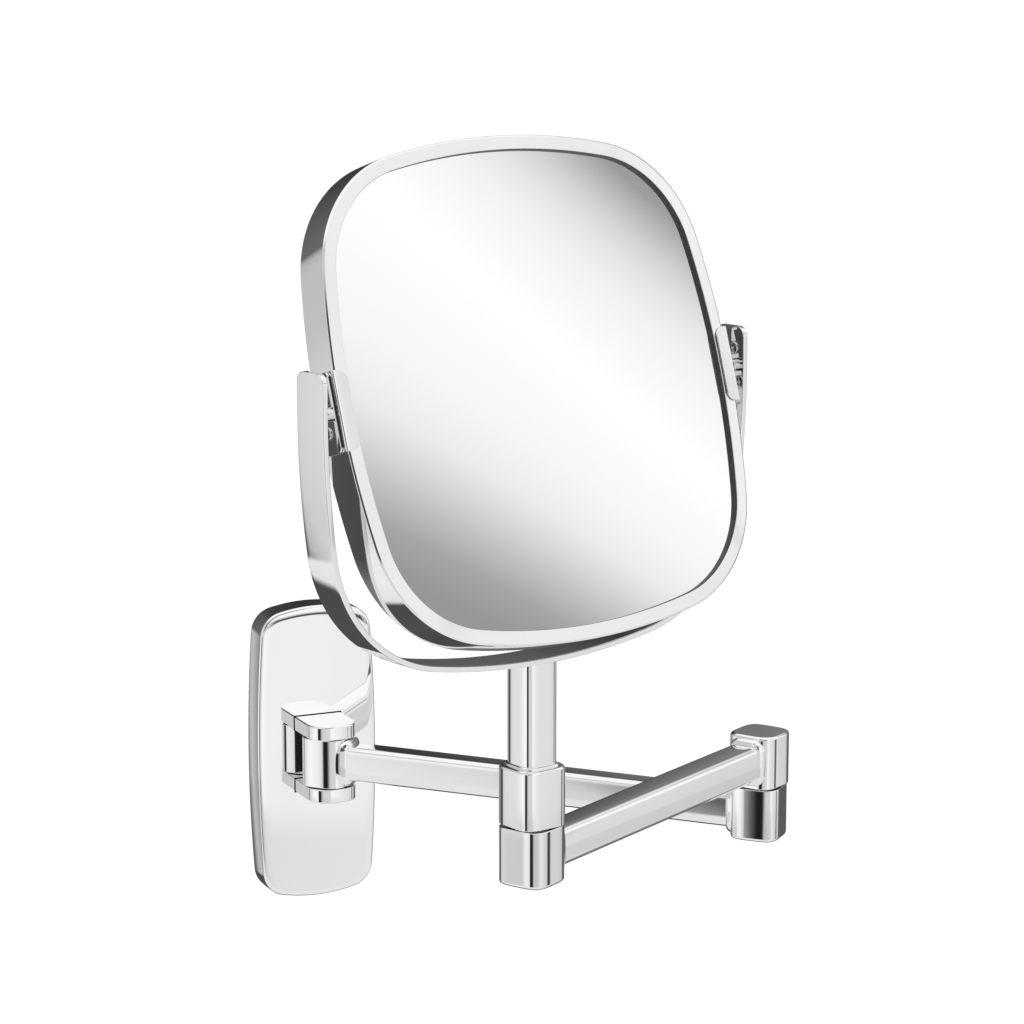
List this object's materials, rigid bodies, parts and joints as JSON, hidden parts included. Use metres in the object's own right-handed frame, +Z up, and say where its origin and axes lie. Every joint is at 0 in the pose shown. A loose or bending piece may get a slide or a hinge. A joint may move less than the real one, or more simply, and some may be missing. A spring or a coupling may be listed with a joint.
{
  "type": "extendable shaving mirror",
  "caption": "Wall-mounted tilting two-sided mirror in a chrome fork, on a folding arm with a hinge at the wall and one at the elbow.",
  "frame": {"origin": "centre of the wall bracket's back face, on the wall", "axes": "+Y into the wall, -Y out to the user, +Z up, +X to the right of a person who faces the wall"},
  "size_m": [0.267, 0.3242, 0.3742],
  "materials": {
    "polished_chrome": "mirror polished chrome plate",
    "screw_steel": "bright zinc-plated steel",
    "bracket_steel": "dull zinc-plated steel",
    "silvered_glass": "silvered glass, clean",
    "nylon": "natural nylon",
    "black_plastic": "moulded black plastic"
  },
  "bodies": {
    "wall_mount": {"wall_bracket": "bracket_steel", "wall_cover": "polished_chrome", "cover_grub_screw": "screw_steel", "hinge_clevis": "polished_chrome", "clevis_screw_upper": "screw_steel", "clevis_screw_lower": "screw_steel", "hinge_pin": "screw_steel", "hinge_washer_upper": "nylon", "hinge_washer_lower": "nylon"},
    "arm_1": {"arm1_wall_knuckle": "polished_chrome", "arm1_tube": "polished_chrome", "arm1_elbow_knuckle": "polished_chrome"},
    "arm_2": {"arm2_elbow_knuckle": "polished_chrome", "arm2_tube": "polished_chrome", "arm2_front_knuckle": "polished_chrome", "elbow_bolt": "screw_steel", "elbow_washer": "nylon", "elbow_spring_washer": "screw_steel"},
    "fork": {"swivel_collar": "polished_chrome", "stem": "polished_chrome", "swivel_bolt": "screw_steel", "swivel_washer": "nylon", "swivel_spring_washer": "screw_steel", "fork_band": "polished_chrome", "fork_screw": "screw_steel", "pivot_stud_left": "screw_steel", "pivot_stud_right": "screw_steel"},
    "mirror_head": {"frame_shell": "polished_chrome", "rear_bezel": "polished_chrome", "mirror_glass": "silvered_glass", "magnifier_glass": "silvered_glass", "spacer_ring": "black_plastic", "saddle_left": "polished_chrome", "saddle_right": "polished_chrome", "pivot_plate_left": "polished_chrome", "pivot_plate_right": "polished_chrome", "pivot_bush_left": "polished_chrome", "pivot_bush_right": "polished_chrome", "pivot_screw_left_upper": "screw_steel", "pivot_screw_left_lower": "screw_steel", "pivot_screw_right_upper": "screw_steel", "pivot_screw_right_lower": "screw_steel"}
  },
  "joints": [
    {"name": "wall_hinge", "type": "hinge", "parent": "wall_mount", "child": "arm_1", "pos_m": [0, -0.0282, 0], "axis": [0, 0, 1], "range_deg": [-128, 40]},
    {"name": "elbow", "type": "hinge", "parent": "arm_1", "child": "arm_2", "pos_m": [0.14071, -0.18503, 0.012], "axis": [0, 0, 1], "continuous": true},
    {"name": "stem_swivel", "type": "hinge", "parent": "arm_2", "child": "fork", "pos_m": [-0.01038, -0.27509, 0.036], "axis": [0, 0, 1], "continuous": true},
    {"name": "mirror_tilt", "type": "hinge", "parent": "fork", "child": "mirror_head", "pos_m": [-0.01038, -0.27509, 0.2086], "axis": [0.9703, 0.2419, 0], "continuous": true}
  ]
}
